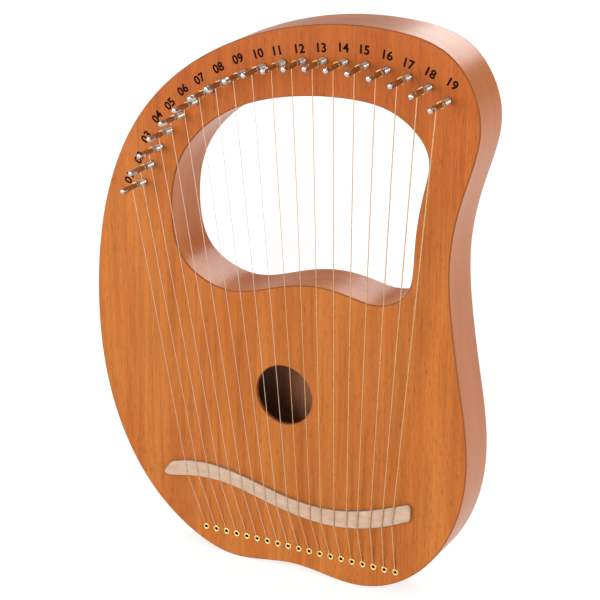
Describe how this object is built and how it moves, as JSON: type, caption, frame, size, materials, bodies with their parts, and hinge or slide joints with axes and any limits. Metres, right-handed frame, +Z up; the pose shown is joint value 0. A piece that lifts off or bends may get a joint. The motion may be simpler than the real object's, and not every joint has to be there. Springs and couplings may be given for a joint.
{
  "type": "lyre harp",
  "caption": "Handheld wooden lyre harp: hollow curved body with a hand window and round sound hole, low S-shaped bridge, steel strings and turning metal tuning pins.",
  "frame": {"origin": "centre of the overall box in X and Y, on the surface that the two lobes of the lower rim stand on", "axes": "+Z up along the body's height, +Y from the soundboard to the back, +X to the right as the soundboard is seen"},
  "size_m": [0.3478, 0.081, 0.4765],
  "materials": {
    "soundboard_wood": "satin clear-coated mahogany, fine vertical grain",
    "body_wood": "satin clear-coated mahogany, paler than the face",
    "block_wood": "bare maple, inside the body",
    "brace_wood": "bare spruce, inside the body",
    "bridge_wood": "smooth bare beech",
    "pin_metal": "polished nickel plate",
    "plain_steel": "bright plain wire",
    "wound_bronze": "bronze-wound wire"
  },
  "bodies": {
    "body": {"soundboard": "soundboard_wood", "side_rim": "body_wood", "window_rim": "body_wood", "back_plate": "body_wood", "pin_block": "block_wood", "hitch_block": "block_wood", "soundboard_brace_upper": "brace_wood", "soundboard_brace_lower": "brace_wood", "back_brace_upper": "brace_wood", "back_brace_lower": "brace_wood", "bridge_plate": "brace_wood", "bridge": "bridge_wood", "string_01": "plain_steel", "string_02": "plain_steel", "string_03": "plain_steel", "string_04": "plain_steel", "string_05": "plain_steel", "string_06": "plain_steel", "string_07": "plain_steel", "string_08": "plain_steel", "string_09": "plain_steel", "string_10": "plain_steel", "string_11": "wound_bronze", "string_12": "wound_bronze", "string_13": "wound_bronze", "string_14": "wound_bronze", "string_15": "wound_bronze", "string_16": "wound_bronze", "string_17": "wound_bronze", "string_18": "wound_bronze", "string_19": "wound_bronze"},
    "pin_01": {"tuning_pin_01": "pin_metal"},
    "pin_02": {"tuning_pin_02": "pin_metal"},
    "pin_03": {"tuning_pin_03": "pin_metal"},
    "pin_04": {"tuning_pin_04": "pin_metal"},
    "pin_05": {"tuning_pin_05": "pin_metal"},
    "pin_06": {"tuning_pin_06": "pin_metal"},
    "pin_07": {"tuning_pin_07": "pin_metal"},
    "pin_08": {"tuning_pin_08": "pin_metal"},
    "pin_09": {"tuning_pin_09": "pin_metal"},
    "pin_10": {"tuning_pin_10": "pin_metal"},
    "pin_11": {"tuning_pin_11": "pin_metal"},
    "pin_12": {"tuning_pin_12": "pin_metal"},
    "pin_13": {"tuning_pin_13": "pin_metal"},
    "pin_14": {"tuning_pin_14": "pin_metal"},
    "pin_15": {"tuning_pin_15": "pin_metal"},
    "pin_16": {"tuning_pin_16": "pin_metal"},
    "pin_17": {"tuning_pin_17": "pin_metal"},
    "pin_18": {"tuning_pin_18": "pin_metal"},
    "pin_19": {"tuning_pin_19": "pin_metal"}
  },
  "joints": [
    {"name": "pin_turn_01", "type": "hinge", "parent": "body", "child": "pin_01", "pos_m": [-0.1245, -0.0065, 0.325], "axis": [0, -1, 0], "range_deg": [-990, 45]},
    {"name": "pin_turn_02", "type": "hinge", "parent": "body", "child": "pin_02", "pos_m": [-0.11642, -0.0065, 0.34124], "axis": [0, -1, 0], "range_deg": [-990, 45]},
    {"name": "pin_turn_03", "type": "hinge", "parent": "body", "child": "pin_03", "pos_m": [-0.1078, -0.0065, 0.3572], "axis": [0, -1, 0], "range_deg": [-990, 45]},
    {"name": "pin_turn_04", "type": "hinge", "parent": "body", "child": "pin_04", "pos_m": [-0.09807, -0.0065, 0.37251], "axis": [0, -1, 0], "range_deg": [-990, 45]},
    {"name": "pin_turn_05", "type": "hinge", "parent": "body", "child": "pin_05", "pos_m": [-0.08674, -0.0065, 0.38667], "axis": [0, -1, 0], "range_deg": [-990, 45]},
    {"name": "pin_turn_06", "type": "hinge", "parent": "body", "child": "pin_06", "pos_m": [-0.07383, -0.0065, 0.3994], "axis": [0, -1, 0], "range_deg": [-990, 45]},
    {"name": "pin_turn_07", "type": "hinge", "parent": "body", "child": "pin_07", "pos_m": [-0.05957, -0.0065, 0.4106], "axis": [0, -1, 0], "range_deg": [-990, 45]},
    {"name": "pin_turn_08", "type": "hinge", "parent": "body", "child": "pin_08", "pos_m": [-0.04424, -0.0065, 0.42029], "axis": [0, -1, 0], "range_deg": [-990, 45]},
    {"name": "pin_turn_09", "type": "hinge", "parent": "body", "child": "pin_09", "pos_m": [-0.02807, -0.0065, 0.42852], "axis": [0, -1, 0], "range_deg": [-990, 45]},
    {"name": "pin_turn_10", "type": "hinge", "parent": "body", "child": "pin_10", "pos_m": [-0.01124, -0.0065, 0.43529], "axis": [0, -1, 0], "range_deg": [-990, 45]},
    {"name": "pin_turn_11", "type": "hinge", "parent": "body", "child": "pin_11", "pos_m": [0.00611, -0.0065, 0.44054], "axis": [0, -1, 0], "range_deg": [-990, 45]},
    {"name": "pin_turn_12", "type": "hinge", "parent": "body", "child": "pin_12", "pos_m": [0.02387, -0.0065, 0.44424], "axis": [0, -1, 0], "range_deg": [-990, 45]},
    {"name": "pin_turn_13", "type": "hinge", "parent": "body", "child": "pin_13", "pos_m": [0.04187, -0.0065, 0.44648], "axis": [0, -1, 0], "range_deg": [-990, 45]},
    {"name": "pin_turn_14", "type": "hinge", "parent": "body", "child": "pin_14", "pos_m": [0.05999, -0.0065, 0.44741], "axis": [0, -1, 0], "range_deg": [-990, 45]},
    {"name": "pin_turn_15", "type": "hinge", "parent": "body", "child": "pin_15", "pos_m": [0.07812, -0.0065, 0.44712], "axis": [0, -1, 0], "range_deg": [-990, 45]},
    {"name": "pin_turn_16", "type": "hinge", "parent": "body", "child": "pin_16", "pos_m": [0.09618, -0.0065, 0.44544], "axis": [0, -1, 0], "range_deg": [-990, 45]},
    {"name": "pin_turn_17", "type": "hinge", "parent": "body", "child": "pin_17", "pos_m": [0.11399, -0.0065, 0.442], "axis": [0, -1, 0], "range_deg": [-990, 45]},
    {"name": "pin_turn_18", "type": "hinge", "parent": "body", "child": "pin_18", "pos_m": [0.13116, -0.0065, 0.43621], "axis": [0, -1, 0], "range_deg": [-990, 45]},
    {"name": "pin_turn_19", "type": "hinge", "parent": "body", "child": "pin_19", "pos_m": [0.147, -0.0065, 0.4274], "axis": [0, -1, 0], "range_deg": [-990, 45]}
  ]
}
